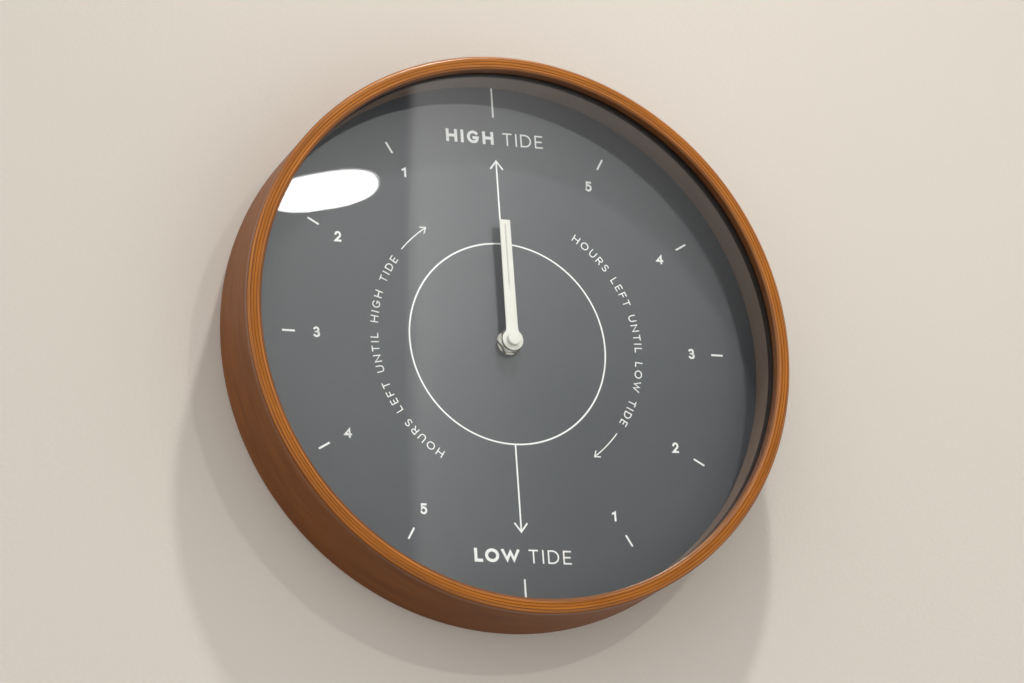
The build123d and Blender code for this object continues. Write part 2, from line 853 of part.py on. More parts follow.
def contact_negative():
    """Plate on the end wall with a leaf bent back to press on the flat end of the cell."""
    half = contact_tall / 2
    rear, front = cell_z - contact_width / 2, cell_z + contact_width / 2
    outer = -room_side
    touch = cell_foot - leaf_gap
    thick = contact_thickness
    outline = make_face(
        Polyline(
            (outer, cell_y - half),
            (outer, cell_y + half),
            (outer + thick, cell_y + half),
            (touch, cell_y + thick),
            (touch, cell_y - thick),
            (touch - thick, cell_y - thick),
            (touch - thick, cell_y),
            (outer + thick, cell_y + half - 2 * thick),
            (outer + thick, cell_y - half),
            close=True,
        )
    )
    return plate(outline, rear, front)


pieces = [
    wood_rim, glass_lens, lens_gasket, spacer_ring, dial_sheet, dial_board, board_clips, clip_screws,
    hanger_block, hanger_plate, hanger_screws, rubber_washer, dial_washer, hex_nut,
    tide_hand, hand_collet, hub_cap, tide_wheel, cannon_pinion, motion_wheel, setting_knob,
    centre_wheel, third_wheel, second_wheel, intermediate_wheel, rotor, rotor_magnet,
    movement_case, movement_cover, stator, coil_core, coil_bobbin, coil_winding,
    circuit_board, driver_chip, quartz_crystal, battery_cell, contact_positive, contact_negative,
]

os.makedirs("parts", exist_ok=True)
for piece in pieces:
    export_step(Rot(90, 0, 0) * piece(), f"parts/{piece.__name__}.step")
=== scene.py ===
import json
from math import radians

import bmesh
import bpy
import numpy as np
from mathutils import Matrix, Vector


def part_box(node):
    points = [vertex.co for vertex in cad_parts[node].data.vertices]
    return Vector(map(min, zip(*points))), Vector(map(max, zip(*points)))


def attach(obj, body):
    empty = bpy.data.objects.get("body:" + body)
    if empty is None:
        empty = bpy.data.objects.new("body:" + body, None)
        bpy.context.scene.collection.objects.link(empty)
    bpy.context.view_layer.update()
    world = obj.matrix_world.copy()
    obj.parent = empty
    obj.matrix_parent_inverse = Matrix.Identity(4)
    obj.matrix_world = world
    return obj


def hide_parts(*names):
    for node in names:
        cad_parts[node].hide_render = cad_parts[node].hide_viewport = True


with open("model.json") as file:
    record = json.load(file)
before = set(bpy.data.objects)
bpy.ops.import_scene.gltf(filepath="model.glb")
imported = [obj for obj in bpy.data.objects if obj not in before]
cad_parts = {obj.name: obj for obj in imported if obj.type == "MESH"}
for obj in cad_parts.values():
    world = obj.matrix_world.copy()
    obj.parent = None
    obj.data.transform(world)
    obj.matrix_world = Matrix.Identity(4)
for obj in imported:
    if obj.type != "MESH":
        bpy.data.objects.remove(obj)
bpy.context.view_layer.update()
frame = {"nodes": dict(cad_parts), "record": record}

# Tide clock on a wall: a stained bentwood hoop, flat glass, a slate dial with white print and one hand.
# Sizes are in metres. The dial faces -Y, +Z is up and the wall is at Y = 0.

MM = 0.001

# Hoop, taken from its box, with the lip and the rounds, across and along, that a box doesn't show
HOOP_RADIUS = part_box("wood_rim")[1].x
HOOP_DEPTH = -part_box("wood_rim")[0].y
LIP_WIDTH = 7.7 * MM
LIP_DEPTH = 5.0 * MM
SEAT_STEP = 3.7 * MM
FRONT_ROUND = (2.8 * MM, 1.6 * MM)
REAR_ROUND = 0.8 * MM
LIP_ROUND = (2.2 * MM, 0.9 * MM)
LIP_RADIUS = HOOP_RADIUS - LIP_WIDTH
SEAT_RADIUS = LIP_RADIUS + SEAT_STEP
TURN_STEPS = 480
CAP_STEPS = 96

# Plywood: a ply's thickness and wander, where in it the dark layer starts and ends, the outer skin's depth,
# how the grain is stretched, and the parts of the front that carry painted shade, are worn or are shiny
PLY_THICKNESS = 1.55 * MM
PLY_WANDER = 0.4 * MM
DARK_LAYER = (0.60, 0.72, 0.88, 0.98)
SKIN_DEPTH = (0.45 * MM, 0.2 * MM)
GRAIN_ROUND = 3.2
GRAIN_ALONG = 170.0
GRAIN_INWARD = 2400.0
PLY_SHIFT = 7.3
# Painted shade: the reach over which the front and the lip darken towards the lip's edge
LIP_SHADE_REACH = (1.7 * MM, 0.2 * MM)
FRONT_REACH = (4.5 * MM, 2.5 * MM)
WORN_EDGE = (1.4 * MM, 0.5 * MM)
SHINY_ROUND = (2.3 * MM, 1.6 * MM)
SHINY_COAT = 0.42

# Rings between the glass and the dial
GASKET_WALL = 3.3 * MM
SPACER_WALL = 3.1 * MM
RING_ROUND = 0.25 * MM

# Dial print, by its radius from the shaft
DIAL_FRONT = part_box("dial_sheet")[0].y
PRINT_LIFT = 0.005 * MM
PRINT_THICKNESS = 0.03 * MM
PRINT_STEP = 0.01 * MM
SHORTEST_MITRE = 0.35
MARK_RADIUS = 120.0 * MM
MARK_LENGTH = 6.8 * MM
MARK_WIDTH = 1.0 * MM
LONG_MARK = (126.0 * MM, 142.9 * MM)
FIGURE_RADIUS = 105.0 * MM
FIGURE_HEIGHT = 5.7 * MM
FIGURE_STROKE = 1.06 * MM
RING_RADIUS = 54.75 * MM
RING_LINE = 0.85 * MM
ARROW_TIP = 101.2 * MM
ARROW_LINE = 0.85 * MM
ARROW_BARB = (3.3 * MM, 4.3 * MM)
LABEL_HEIGHT = 7.2 * MM
LABEL_RADIUS = 114.0 * MM
BOLD_STROKE = 1.65 * MM
LIGHT_STROKE = 0.8 * MM
LEGEND_RADIUS = 74.0 * MM
LEGEND_HEIGHT = 4.2 * MM
LEGEND_STROKE = 0.52 * MM
LEGEND_ARROW = (5.0, 19.5)
LEGEND_BARB = (1.9 * MM, 2.5 * MM)
LEGEND_WORD_GAP = 3.0

# Words of the print: a label's words, each with its stroke and letter gap, then its word gap and its side of
# the dial, and a legend's words with their start and end in degrees from the top
TIDE_LABELS = (
    ((("HIGH", BOLD_STROKE, 1.95 * MM), ("TIDE", LIGHT_STROKE, 2.05 * MM)), 5.2 * MM, 1),
    ((("LOW", BOLD_STROKE, 1.25 * MM), ("TIDE", LIGHT_STROKE, 2.25 * MM)), 5.05 * MM, -1),
)
LEGENDS = (
    ("HOURS LEFT UNTIL HIGH TIDE", 213.0, 305.5),
    ("HOURS LEFT UNTIL LOW TIDE", 34.0, 124.0),
)

# Hand, taken from its box, with the crease along its middle and the painted shade in the crease
HAND_LOW, HAND_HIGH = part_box("tide_hand")
HAND_TIP = HAND_HIGH.z
HAND_REAR = HAND_HIGH.y
HAND_FRONT = HAND_LOW.y
HAND_BOSS = HAND_HIGH.x
HAND_ROOT_HALF = 3.3 * MM
HAND_TIP_HALF = 2.95 * MM
HAND_HOLE = 3.02 * MM
HAND_EDGE = 0.18 * MM
CREASE_DEPTH = 0.25 * MM
CREASE_TOP = HAND_TIP - 2.4 * MM
CREASE_LENGTH = 38.0 * MM
CREASE_FOOT = CREASE_TOP - CREASE_LENGTH
CREASE_RUN_IN = 2.0 * MM
CREASE_RUN_OUT = 0.6 * MM
# Fade and width of the painted shade along the bottom of the crease
CREASE_SHADE_FADE = 6.0 * MM
CREASE_SHADE_LINE = (0.42 * MM, 0.25 * MM)

# Camera, fitted to the photograph's frame
CAMERA_PLACE = (-0.618902, -1.479324, -0.503251)
CAMERA_TURN = (107.67995, 3.76337, -21.85532)
CAMERA_LENS = 112.556
SENSOR_WIDTH = 36.0

# Meshes
MERGE_DISTANCE = 1e-7
CRISP_ANGLE = 32.0

# Metal scratches
SCRATCH_SWING = 0.2
SCRATCH_DEPTH = 0.004 * MM

# Wall
WALL_GAP = 0.4 * MM
WALL_REACH = 2.5
BEYOND_WALL = (0.70, 0.64, 0.57, 1.0)

# Lamps: the ceiling lamp with its dim border, and the spot near the wall
LAMP_CORNERS = ((0.953, -2.761), (1.010, -2.912), (0.873, -3.016), (0.814, -2.871))
LAMP_ROUNDNESS = 0.81
LAMP_HEIGHT = 1.2
LAMP_STEPS = 96
LAMP_TINT = (1.0, 0.985, 0.96, 1.0)
LAMP_LEVEL = 430.0
LAMP_IMAGE = 14.0
BORDER_GROWTH = 1.04
BORDER_LIFT = 0.001
BORDER_LEVEL = 3.0
SPOT_PLACE = (0.125, -0.50, 0.90)
SPOT_RADIUS = 0.038
SPOT_TILT = 30.0
SPOT_STEPS = 48
SPOT_LEVEL = 845.0

# Room by heading: a range gives where a change starts and ends, and then its two levels where they aren't 0
# and 1. The strip has its start, its full part and its end, and each soft light has its aim and strength.
BASE_LIGHT = (-1.0, 1.0, 0.015, 0.03)
DIM_LEVEL = 0.03
DIM_LEFT = (0.16, 0.26)
DIM_RIGHT = (0.58, 0.50)
DIM_FOOT = (0.08, 0.18)
DIM_HEAD = (0.42, 0.28)
STRIP = (0.3610, 0.3670, 0.415)
STRIP_LEAN = 0.065
STRIP_FADE = 1.4
STRIP_FOOT = (0.21, 0.31, 0.3, 0.9)
STRIP_MIDDLE = (0.34, 0.385, 1.0, 0.5)
STRIP_HEAD = (0.75, 0.55)
WALL_THROW = (-0.3, 0.15, 0.09, 0.78)
WALL_PLANE = (0.05, -0.05)
SOFT_EDGE = (0.6, 0.95)
SOFT_LIGHTS = (
    ((-0.72, -0.62, 0.32), 1.0),
    ((-0.80, -0.12, 0.59), 0.3),
    ((0.66, -0.72, 0.20), 0.4),
    ((0.95, -0.30, 0.10), 0.4),
    ((0.0, -0.80, -0.60), 0.65),
    ((0.60, -0.50, -0.62), 0.35),
    ((0.0, -0.75, 0.66), 0.5),
)


# Points and faces
def quads(rows, columns, ring=False, loop=False):
    """Faces of a grid of points: each joins a point, the next in its row and the same two one row on."""
    i, j = np.meshgrid(
        np.arange(rows if ring else rows - 1), np.arange(columns if loop else columns - 1), indexing="ij"
    )
    k, m = (i + 1) % rows, (j + 1) % columns
    return np.stack([i * columns + j, i * columns + m, k * columns + m, k * columns + j], -1).reshape(-1, 4)


def arc(centre, radii, start, end, steps=12):
    """Points of an ellipse's arc: centre plus radii times cosine and sine of an angle from start to end."""
    angle = np.radians(np.linspace(start, end, steps + 1))
    return np.stack([centre[0] + radii[0] * np.cos(angle), centre[1] + radii[1] * np.sin(angle)], -1)


def turned(profile, steps=TURN_STEPS, closed=True):
    """A profile of radius and height carried round the shaft: x and z are the radius times cosine and sine
    of the angle, and y is minus the height above the wall."""
    angle = np.linspace(0, 2 * np.pi, steps, endpoint=False)[:, None]
    radius, height = np.asarray(profile)[:, 0], np.asarray(profile)[:, 1]
    points = np.stack([radius * np.cos(angle), 0 * angle - height, radius * np.sin(angle)], -1)
    return points.reshape(-1, 3), [quads(steps, len(profile), ring=True, loop=closed)]


def piece(name, parts, body, slot, replaced=()):
    """One object from parts, each with points and arrays of faces. Doubled points are merged and faces are
    turned outwards. It rides on a body, has its slot's finish and may stand for nodes."""
    points = np.concatenate([p for p, _ in parts])
    starts = np.cumsum([0] + [len(p) for p, _ in parts])
    faces = [face for (_, f), start in zip(parts, starts) for rows in f for face in (rows + start).tolist()]
    mesh = bpy.data.meshes.new(name)
    mesh.from_pydata(points.tolist(), [], faces)
    merged = bmesh.new()
    merged.from_mesh(mesh)
    bmesh.ops.remove_doubles(merged, verts=merged.verts, dist=MERGE_DISTANCE)
    bmesh.ops.recalc_face_normals(merged, faces=merged.faces)
    merged.to_mesh(mesh)
    merged.free()
    mesh.shade_smooth()
    mesh.set_sharp_from_angle(angle=radians(CRISP_ANGLE))
    made = bpy.data.objects.new(name, mesh)
    bpy.context.scene.collection.objects.link(made)
    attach(made, body)
    if replaced:
        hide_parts(*replaced)
    made.data.materials.append(FINISHES[slot])
    return made


# Print on the dial: strokes are lines in the dial's plane, right and up, given a width
def stroke(line, width, closed=False, square=True):
    """Both edges of a line: each point moved half the width along its normal, stretched at corners to a
    mitre. Square ends run on by half the width."""
    line = np.asarray(line, float)
    if not closed and square:
        first, last = line[0] - line[1], line[-1] - line[-2]
        line[0] += first / np.linalg.norm(first) * width / 2
        line[-1] += last / np.linalg.norm(last) * width / 2
    after = np.roll(line, -1, 0) - line
    before = line - np.roll(line, 1, 0)
    if not closed:
        after[-1], before[0] = before[-1], after[0]
    after /= np.linalg.norm(after, axis=1)[:, None]
    before /= np.linalg.norm(before, axis=1)[:, None]
    along = after + before
    along /= np.linalg.norm(along, axis=1)[:, None]
    reach = np.clip(np.sum(along * after, 1), SHORTEST_MITRE, 1.0)[:, None]
    normal = np.stack([-along[:, 1], along[:, 0]], -1) / reach * width / 2
    return np.stack([line + normal, line - normal], 1)


def slab(edges, closed, lift):
    """A stroke as a thin slab on the dial: its two edges just off the dial's face and again one lift out."""
    count = len(edges)
    low, high = DIAL_FRONT - PRINT_LIFT, DIAL_FRONT - PRINT_LIFT - lift
    left, right = edges[:, 0], edges[:, 1]
    corners = [(left, low), (left, high), (right, high), (right, low)]
    points = np.stack([np.stack([p[:, 0], np.full(count, y), p[:, 1]], -1) for p, y in corners], 1)
    faces = [quads(count, 4, ring=closed, loop=True)]
    if not closed:
        faces.append(np.array([[0, 1, 2, 3], [4 * count - 1, 4 * count - 2, 4 * count - 3, 4 * count - 4]]))
    return points.reshape(-1, 3), faces


def printed(strokes):
    """Strokes that may cross, as slabs that each stand a little in front of the one before."""
    return [
        slab(edges, closed, PRINT_THICKNESS + rank * PRINT_STEP)
        for rank, (edges, closed) in enumerate(strokes)
    ]


UP_LEFT, UP_RIGHT, LOW_LEFT, LOW_RIGHT = (0, 1), (1, 1), (0, 0), (1, 0)


def bar(*points):
    """A glyph's straight line through points of its unit box."""
    return np.array(points, float), False


def bow(*pieces_of_line):
    """A glyph's line joined from points and arcs of its unit box."""
    return np.concatenate([np.atleast_2d(p) for p in pieces_of_line]), False


STEM = bar(LOW_LEFT, UP_LEFT)
# Each glyph: its width as a share of its height, and its lines in a unit box
GLYPHS = {
    "D": (0.86, [(bow(LOW_LEFT, UP_LEFT, arc((0.38, 0.5), (0.62, 0.5), 90, -90, 20))[0], True)]),
    "E": (0.63, [STEM, bar(UP_LEFT, UP_RIGHT), bar((0, 0.5), (0.88, 0.5)), bar(LOW_LEFT, LOW_RIGHT)]),
    "F": (0.64, [STEM, bar(UP_LEFT, UP_RIGHT), bar((0, 0.5), (0.88, 0.5))]),
    "G": (0.945, [bow(arc((0.52, 0.5), (0.52, 0.5), 48, 318, 28), (0.97, 0.43), (0.6, 0.43))]),
    "H": (0.88, [STEM, bar(LOW_RIGHT, UP_RIGHT), bar((0, 0.5), (1, 0.5))]),
    "I": (0.0, [bar((0.5, 0), (0.5, 1))]),
    "L": (0.64, [bar(UP_LEFT, LOW_LEFT, LOW_RIGHT)]),
    "N": (0.90, [bar(LOW_LEFT, UP_LEFT, LOW_RIGHT, UP_RIGHT)]),
    "O": (1.07, [(arc((0.5, 0.5), (0.5, 0.5), 0, 350, 35), True)]),
    "R": (
        0.76,
        [
            STEM,
            bow(UP_LEFT, arc((0.55, 0.74), (0.42, 0.26), 90, -90), (0, 0.48)),
            bar((0.5, 0.48), LOW_RIGHT),
        ],
    ),
    "S": (0.70, [bow(arc((0.5, 0.75), (0.46, 0.25), 35, 262), arc((0.5, 0.25), (0.5, 0.25), 82, -145))]),
    "T": (0.73, [bar(UP_LEFT, UP_RIGHT), bar((0.5, 0), (0.5, 1))]),
    "U": (0.86, [bow((0, 1), arc((0.5, 0.38), (0.5, 0.38), 180, 360), (1, 1))]),
    "W": (1.385, [bar((0, 1), (0.27, 0), (0.5, 1), (0.73, 0), (1, 1))]),
    "1": (0.42, [bar((0, 0.76), (1, 1), (1, 0))]),
    "2": (0.64, [bow(arc((0.5, 0.70), (0.48, 0.30), 165, -35, 16), (0, 0), (1, 0))]),
    "3": (0.62, [bow(arc((0.45, 0.76), (0.45, 0.24), 150, -80), arc((0.47, 0.26), (0.53, 0.26), 80, -150))]),
    "4": (0.72, [bar((0.76, 0), (0.76, 1), (0, 0.28), (1, 0.28))]),
    "5": (0.64, [bow((0.92, 1), (0.14, 1), (0.08, 0.56), arc((0.44, 0.33), (0.55, 0.33), 122, -145, 16))]),
}


def glyph(letter, height, width):
    """Edges of a letter's strokes in its own box, cut flat at its foot and its head, and how wide it is."""
    share, lines = GLYPHS[letter]
    across = max(share * height, width)
    room = np.array([across - width, height - width])
    cut = []
    for line, closed in lines:
        edges = stroke(line * room + width / 2, width, closed)
        edges[..., 1] = np.clip(edges[..., 1], 0, height)
        cut.append((edges, closed))
    return cut, across


def wording(words, height, word_gap):
    """Strokes of a line of words from left to right and its length. Each word has its own stroke width and
    its own gap between letters."""
    strokes, at = [], 0.0
    for word, width, gap in words:
        for letter in word:
            cut, across = glyph(letter, height, width)
            strokes += [(edges + (at, 0), closed) for edges, closed in cut]
            at += across + gap
        at += word_gap - gap
    return strokes, at - word_gap


def spoke(clock_angle, radius):
    """Point at a clock angle, in degrees from the top, and a radius."""
    angle = np.radians(clock_angle)
    return np.stack([radius * np.sin(angle), radius * np.cos(angle)], -1)


def arrow(line, barb):
    """A line and the two barbs at its end, which lie back along it and out to both sides."""
    line = np.asarray(line, float)
    along = (line[-1] - line[-2]) / np.linalg.norm(line[-1] - line[-2])
    side = np.array([-along[1], along[0]])
    half, back = barb
    barbs = [line[-1] - along * back + side * half, line[-1], line[-1] - along * back - side * half]
    return [line, np.array(barbs)]


def hour_marks():
    """Short lines at each hour and long ones at the top and the bottom."""
    parts = []
    for hour in range(12):
        near, far = LONG_MARK
        if hour % 6:
            near, far = MARK_RADIUS - MARK_LENGTH / 2, MARK_RADIUS + MARK_LENGTH / 2
        line = [spoke(30 * hour, near), spoke(30 * hour, far)]
        parts += printed([(stroke(line, MARK_WIDTH, square=False), False)])
    return parts


def hour_figures():
    """Upright figures inside the marks: from the top down, 5 to 1 on the right and 1 to 5 on the left."""
    parts = []
    for count in range(1, 6):
        for clock_angle in (180 - 30 * count, 360 - 30 * count):
            cut, across = glyph(str(count), FIGURE_HEIGHT, FIGURE_STROKE)
            place = spoke(clock_angle, FIGURE_RADIUS) - (across / 2, FIGURE_HEIGHT / 2)
            parts += printed([(edges + place, closed) for edges, closed in cut])
    return parts


def tide_labels():
    """The words at the top and the bottom: the first bold and the second light."""
    parts = []
    for words, word_gap, side in TIDE_LABELS:
        strokes, length = wording(words, LABEL_HEIGHT, word_gap)
        foot = side * LABEL_RADIUS - LABEL_HEIGHT / 2
        parts += printed([(edges + (-length / 2, foot), closed) for edges, closed in strokes])
    return parts


def set_lines():
    """Circle round the shaft, and an arrow from it to each label."""
    circle = arc((0, 0), (RING_RADIUS, RING_RADIUS), 0, 359, 359)
    strokes = [(stroke(circle, RING_LINE, True), True)]
    for side in (1, -1):
        lines = arrow([(0, side * RING_RADIUS), (0, side * ARROW_TIP)], ARROW_BARB)
        strokes += [(stroke(line, ARROW_LINE), False) for line in lines]
    return printed(strokes)


def curved_legends():
    """Small words bent clockwise along a circle, each followed by an arrow on the same circle."""
    parts = []
    for words, start, end in LEGENDS:
        split = words.split()
        room = np.radians(end - start) * LEGEND_RADIUS
        tight = wording([(word, LEGEND_STROKE, 0.0) for word in split], LEGEND_HEIGHT, 0.0)[1]
        letters = len("".join(split))
        gap = (room - tight) / (letters - len(split) + LEGEND_WORD_GAP * (len(split) - 1))
        spaced = [(word, LEGEND_STROKE, gap) for word in split]
        strokes, _ = wording(spaced, LEGEND_HEIGHT, LEGEND_WORD_GAP * gap)
        bent = []
        for edges, closed in strokes:
            clock_angle = start + np.degrees(edges[..., 0] / LEGEND_RADIUS)
            radius = LEGEND_RADIUS - LEGEND_HEIGHT / 2 + edges[..., 1]
            bent.append((spoke(clock_angle, radius), closed))
        sweep = spoke(np.linspace(end + LEGEND_ARROW[0], end + LEGEND_ARROW[1], 16), LEGEND_RADIUS)
        bent += [(stroke(line, LEGEND_STROKE), False) for line in arrow(sweep, LEGEND_BARB)]
        parts += printed(bent)
    return parts


# Turned pieces
def hoop_profile():
    """Section of the hoop: rear face, outer side and front face joined by rounds, then the lip and the
    seat."""
    across, along = FRONT_ROUND
    lip_across, lip_along = LIP_ROUND
    side = np.linspace(REAR_ROUND, HOOP_DEPTH - along, 14)[1:-1]
    return np.concatenate(
        [
            [(SEAT_RADIUS, 0.0)],
            arc((HOOP_RADIUS - REAR_ROUND, REAR_ROUND), (REAR_ROUND, REAR_ROUND), -90, 0, 6),
            np.stack([np.full_like(side, HOOP_RADIUS), side], -1),
            arc((HOOP_RADIUS - across, HOOP_DEPTH - along), FRONT_ROUND, 0, 90, 16),
            arc((LIP_RADIUS + lip_across, HOOP_DEPTH - lip_along), LIP_ROUND, 90, 180, 14),
            [(LIP_RADIUS, HOOP_DEPTH - LIP_DEPTH), (SEAT_RADIUS, HOOP_DEPTH - LIP_DEPTH)],
        ]
    )


def band_profile(node, wall):
    """Section of a flat ring: the node's outer radius and height, with its inner corners rounded."""
    low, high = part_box(node)
    outer, rear, front = high.x, -high.y, -low.y
    inner = outer - wall
    return np.concatenate(
        [
            [(outer, rear), (outer, front)],
            arc((inner + RING_ROUND, front - RING_ROUND), (RING_ROUND, RING_ROUND), 90, 180, 4),
            arc((inner + RING_ROUND, rear + RING_ROUND), (RING_ROUND, RING_ROUND), 180, 270, 4),
        ]
    )


def cap_profile():
    """Section of the hub cap from its rim to the axis: a straight side, a round and a slightly domed top."""
    low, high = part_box("hub_cap")
    radius, rear, front = high.x, -high.y, -low.y
    edge = 0.6 * MM
    dome = 0.06 * MM
    share = np.linspace(0.0, 1.0, 8)[1:]
    top = np.stack([(radius - edge) * (1 - share), front - dome + dome * (1 - (1 - share) ** 2)], -1)
    return np.concatenate(
        [
            [(0.0, rear), (radius, rear)],
            arc((radius - edge, front - dome - edge), (edge, edge), 0, 90, 8),
            top,
        ]
    )


# Hand
def hand_surface():
    """Half of the hand as a grid: rows run from the boss to the tip, and columns go round a section from the
    hole or the middle line over the face, the rounded edge and the back. The half width is the boss's circle
    or the blade's taper, whichever is wider, and the crease lowers the face near the middle line."""
    turn = np.linspace(-np.pi / 2, 0.9, 60)
    low = HAND_BOSS * np.sin(turn)
    high = np.concatenate(
        [
            np.linspace(low[-1], CREASE_FOOT, 10)[1:-1],
            CREASE_FOOT + np.linspace(0, CREASE_RUN_IN, 5),
            np.linspace(CREASE_FOOT + CREASE_RUN_IN, CREASE_TOP - CREASE_RUN_OUT, 12)[1:-1],
            CREASE_TOP - np.linspace(CREASE_RUN_OUT, 0.0, 4),
            HAND_TIP - HAND_EDGE * (1 - np.sin(np.linspace(0, np.pi / 2, 5))),
        ]
    )
    along = np.concatenate([low, high])[:, None]
    boss = np.sqrt(np.clip(HAND_BOSS**2 - along**2, 0, None))
    blade = HAND_ROOT_HALF + (HAND_TIP_HALF - HAND_ROOT_HALF) * along / HAND_TIP
    half = np.where(along > 0, np.maximum(boss, blade), boss)
    hole = np.sqrt(np.clip(HAND_HOLE**2 - along**2, 0, None))
    flat = np.clip(half - HAND_EDGE, hole, None)
    run_in = np.clip((along - CREASE_FOOT) / CREASE_RUN_IN, 0, 1)
    run_out = np.clip((CREASE_TOP - along) / CREASE_RUN_OUT, 0, 1)
    offsets = np.array([0.0, 0.28, 0.40, 0.48, 0.6]) * MM
    lowered = np.array([1.0, 1.0, 0.92, 0.06, 0.0]) * CREASE_DEPTH * (run_in * run_out)
    tip = np.clip((HAND_TIP - along) / HAND_EDGE, 0, 1)
    drop = HAND_EDGE * (1 - np.sqrt(np.clip(1 - (1 - tip) ** 2, 0, 1)))
    near = np.minimum(hole + offsets, flat)
    edge = np.linspace(0, np.pi / 2, 5)
    bend = np.minimum(HAND_EDGE, half - flat)
    over = flat + bend * np.sin(edge)
    fall = HAND_EDGE * (1 - np.cos(edge)) + 0 * along
    face_x = np.concatenate([near, over], 1)
    face_y = HAND_FRONT + np.concatenate([lowered, fall], 1)
    face_y = np.maximum(face_y, HAND_FRONT + drop)
    back_x = face_x[:, ::-1]
    back_y = HAND_REAR - np.concatenate([0 * lowered, fall], 1)[:, ::-1]
    x = np.concatenate([face_x, back_x], 1)
    y = np.concatenate([face_y, back_y], 1)
    return x, y, along + 0 * x, (hole > 0)[:, 0]


def hand_parts():
    """The hand's half and its mirror image. The wall of the hole closes the rows that it crosses."""
    x, y, z, open_rows = hand_surface()
    rows, columns = x.shape
    crossed = np.flatnonzero(open_rows[:-1] | open_rows[1:])[:, None] * columns
    wall = crossed + np.array([0, columns - 1, 2 * columns - 1, columns])
    tip = np.arange((rows - 1) * columns, rows * columns)[None]
    faces = [quads(rows, columns), wall, tip]
    return [(np.stack([side * x, y, z], -1).reshape(-1, 3), faces) for side in (1, -1)]


# Node trees
def put(tree, kind, inputs=None, **settings):
    """A node with its settings, whose inputs are joined to sockets or set to values."""
    made = tree.nodes.new(kind)
    for key, value in settings.items():
        setattr(made, key, value)
    for key, value in (inputs or {}).items():
        if isinstance(value, bpy.types.NodeSocket):
            tree.links.new(value, made.inputs[key])
        else:
            made.inputs[key].default_value = value
    return made


def calc(tree, operation, *values, clamp=False):
    """Result of one operation on sockets or numbers."""
    inputs = dict(enumerate(values))
    return put(tree, "ShaderNodeMath", inputs, operation=operation, use_clamp=clamp).outputs[0]


def blend(tree, share, first, second):
    """Colour between two colours. The node's colours are its inputs 6 and 7 and its output 2."""
    return put(tree, "ShaderNodeMix", {0: share, 6: first, 7: second}, data_type="RGBA").outputs[2]


def spread(tree, value, low, high, to_low=0.0, to_high=1.0, smooth=False):
    """A value stretched from one range to another and kept inside it."""
    inputs = {"Value": value, "From Min": low, "From Max": high, "To Min": to_low, "To Max": to_high}
    kind = "SMOOTHSTEP" if smooth else "LINEAR"
    return put(tree, "ShaderNodeMapRange", inputs, interpolation_type=kind).outputs[0]


def grain(tree, vector, scale, detail=4.0, rough=0.55, layer=None):
    """Noise at a vector, from 0 to 1."""
    inputs = {"Vector": vector, "Scale": scale, "Detail": detail, "Roughness": rough}
    if layer is None:
        return put(tree, "ShaderNodeTexNoise", inputs).outputs[0]
    inputs["W"] = layer
    return put(tree, "ShaderNodeTexNoise", inputs, noise_dimensions="4D").outputs[0]


def place(tree):
    """Object coordinates, which are the clock's own."""
    return put(tree, "ShaderNodeTexCoord").outputs["Object"]


def stretched(tree, vector, factors):
    """A vector with each part multiplied."""
    return put(tree, "ShaderNodeVectorMath", {0: vector, 1: factors}, operation="MULTIPLY").outputs[0]


def bumped(tree, height, distance, strength=1.0):
    """Normal of a surface raised by a height."""
    inputs = {"Height": height, "Distance": distance, "Strength": strength}
    return put(tree, "ShaderNodeBump", inputs).outputs[0]


def group(name, inputs, outputs):
    """An empty shader group with named sockets, and its two end nodes."""
    tree = bpy.data.node_groups.new(name, "ShaderNodeTree")
    for label, kind, value in inputs:
        socket = tree.interface.new_socket(label, in_out="INPUT", socket_type=f"NodeSocket{kind}")
        socket.default_value = value
    for label, kind in outputs:
        tree.interface.new_socket(label, in_out="OUTPUT", socket_type=f"NodeSocket{kind}")
    return tree, put(tree, "NodeGroupInput").outputs, put(tree, "NodeGroupOutput").inputs


def used(tree, shared, inputs):
    """Outputs of a shared group placed in a material."""
    return put(tree, "ShaderNodeGroup", inputs, node_tree=shared).outputs


def product(tree, *shares):
    """Shares multiplied together."""
    whole = shares[0]
    for share in shares[1:]:
        whole = calc(tree, "MULTIPLY", whole, share)
    return whole


def mottle_group():
    """Cloudy colour from two tones, with a fine speckle over it. Height follows the speckle."""
    tree, given, out = group(
        "mottle",
        [("Light", "Color", (1, 1, 1, 1)), ("Dark", "Color", (0, 0, 0, 1)), ("Clouds", "Float", 40.0),
         ("Speckle", "Float", 1500.0), ("Roughness", "Float", 0.5), ("Swing", "Float", 0.1)],
        [("Colour", "Color"), ("Roughness", "Float"), ("Height", "Float")],
    )
    here = place(tree)
    clouds = grain(tree, here, given["Clouds"], 5.0)
    speckle = grain(tree, here, given["Speckle"], 2.0)
    both = calc(tree, "ADD", calc(tree, "MULTIPLY", clouds, 0.6), calc(tree, "MULTIPLY", speckle, 0.4))
    share = spread(tree, both, 0.3, 0.7)
    tree.links.new(blend(tree, share, given["Dark"], given["Light"]), out["Colour"])
    swing = calc(tree, "MULTIPLY", calc(tree, "SUBTRACT", clouds, 0.5), given["Swing"])
    tree.links.new(calc(tree, "ADD", given["Roughness"], swing, clamp=True), out["Roughness"])
    tree.links.new(speckle, out["Height"])
    return tree


